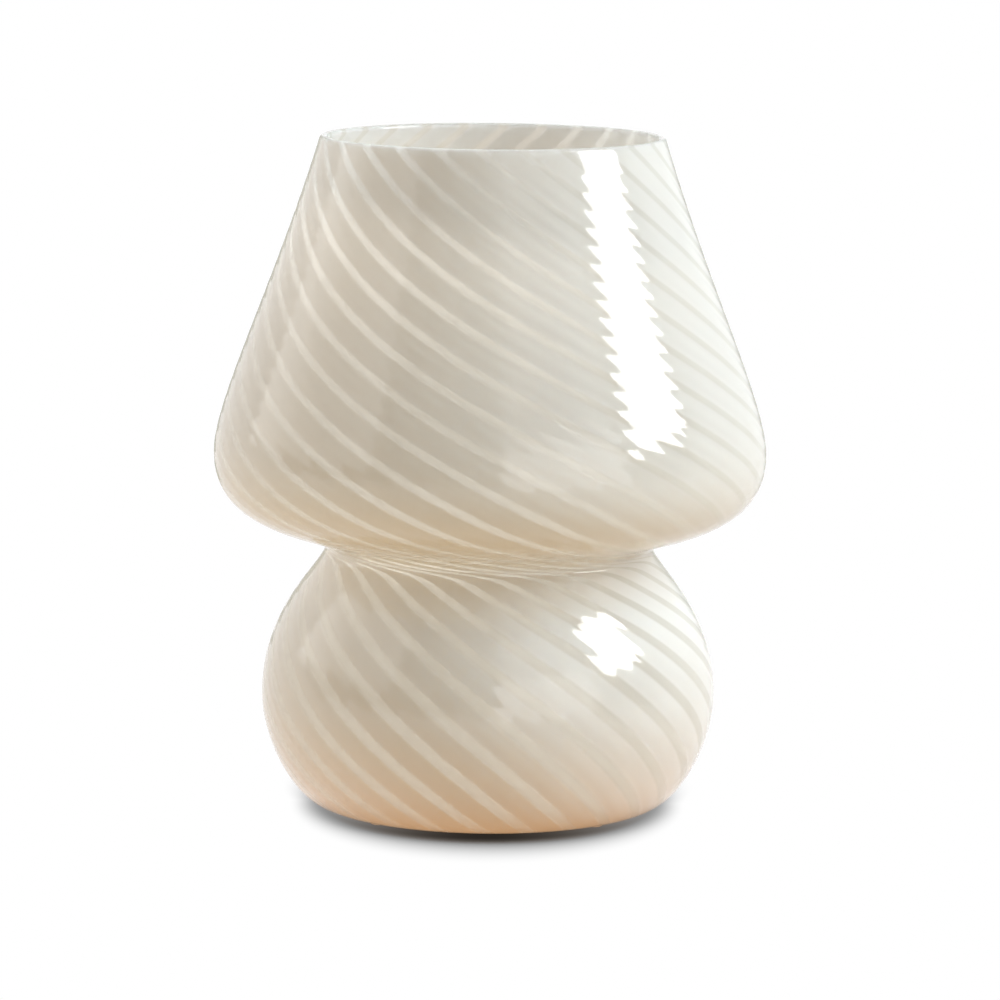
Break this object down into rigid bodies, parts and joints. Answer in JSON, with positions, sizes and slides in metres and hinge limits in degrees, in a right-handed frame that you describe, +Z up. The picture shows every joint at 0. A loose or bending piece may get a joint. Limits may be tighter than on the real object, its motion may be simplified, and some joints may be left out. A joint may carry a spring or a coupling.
{
  "type": "table lamp",
  "caption": "Mushroom table lamp: tapered shade, tight waist and round base in one blown swirl glass, with a lift-out light fitting.",
  "frame": {"origin": "on the table, under the middle of the lamp", "axes": "+Z up along the lamp's axis, the cord hole towards +Y, the pictured front towards -Y"},
  "size_m": [0.2, 0.2, 0.244],
  "materials": {
    "swirl_glass": "blown opal glass with cream swirl stripes, polished",
    "clear_rubber": "translucent moulded rubber",
    "clear_silicone": "clear silicone",
    "zinc_steel": "bright zinc plate",
    "spring_steel": "rolled spring steel",
    "rivet_steel": "plated steel",
    "yellow_brass": "turned brass",
    "white_nylon": "moulded",
    "holder_plastic": "moulded, fine satin",
    "carrier_ceramic": "glazed white",
    "nickel_brass": "bright nickel plate",
    "contact_bronze": "rolled spring bronze",
    "opal_globe": "opal polycarbonate",
    "bulb_plastic": "moulded white",
    "board_aluminium": "white lacquer on aluminium",
    "chip_phosphor": "yellow phosphor under clear resin",
    "board_green": "solder resist",
    "black_glass": "black fused glass",
    "solder_tip": "tinned"
  },
  "bodies": {
    "glass": {"glass_body": "swirl_glass", "cord_grommet": "clear_rubber", "bumper_feet": "clear_silicone"},
    "fitting": {"hub_plate": "zinc_steel", "spring_arm_rear": "spring_steel", "spring_arm_left": "spring_steel", "spring_arm_right": "spring_steel", "arm_pad_rear": "clear_silicone", "arm_pad_left": "clear_silicone", "arm_pad_right": "clear_silicone", "arm_rivets": "rivet_steel", "nipple": "yellow_brass", "toothed_washer": "spring_steel", "lock_nut": "yellow_brass", "nipple_bushing": "white_nylon", "holder_cap": "holder_plastic", "holder_skirt": "holder_plastic", "contact_carrier": "carrier_ceramic", "screw_shell": "nickel_brass", "centre_contact": "contact_bronze", "shell_contact": "contact_bronze", "terminal_blocks": "yellow_brass", "terminal_screws": "zinc_steel"},
    "bulb_tip": {"bulb_tip_contact": "solder_tip"},
    "bulb": {"bulb_globe": "opal_globe", "bulb_collar": "bulb_plastic", "led_board": "board_aluminium", "led_chips": "chip_phosphor", "driver_board": "board_green", "bulb_cap": "nickel_brass", "bulb_insulator": "black_glass"}
  },
  "joints": [
    {"name": "fitting_lift", "type": "slide", "parent": "glass", "child": "fitting", "axis": [0, 0, 1], "range_m": [0, 0.16]},
    {"name": "bulb_rise", "type": "slide", "parent": "fitting", "child": "bulb_tip", "axis": [0, 0, 1], "range_m": [0, 0.0141]},
    {"name": "bulb_turn", "type": "hinge", "parent": "bulb_tip", "child": "bulb", "pos_m": [0, 0, 0.134], "axis": [0, 0, 1], "range_deg": [0, 1800]}
  ],
  "couplings": [
    {"joint": "bulb_rise", "follows": "bulb_turn", "m_per_rad": 0.00044882}
  ]
}
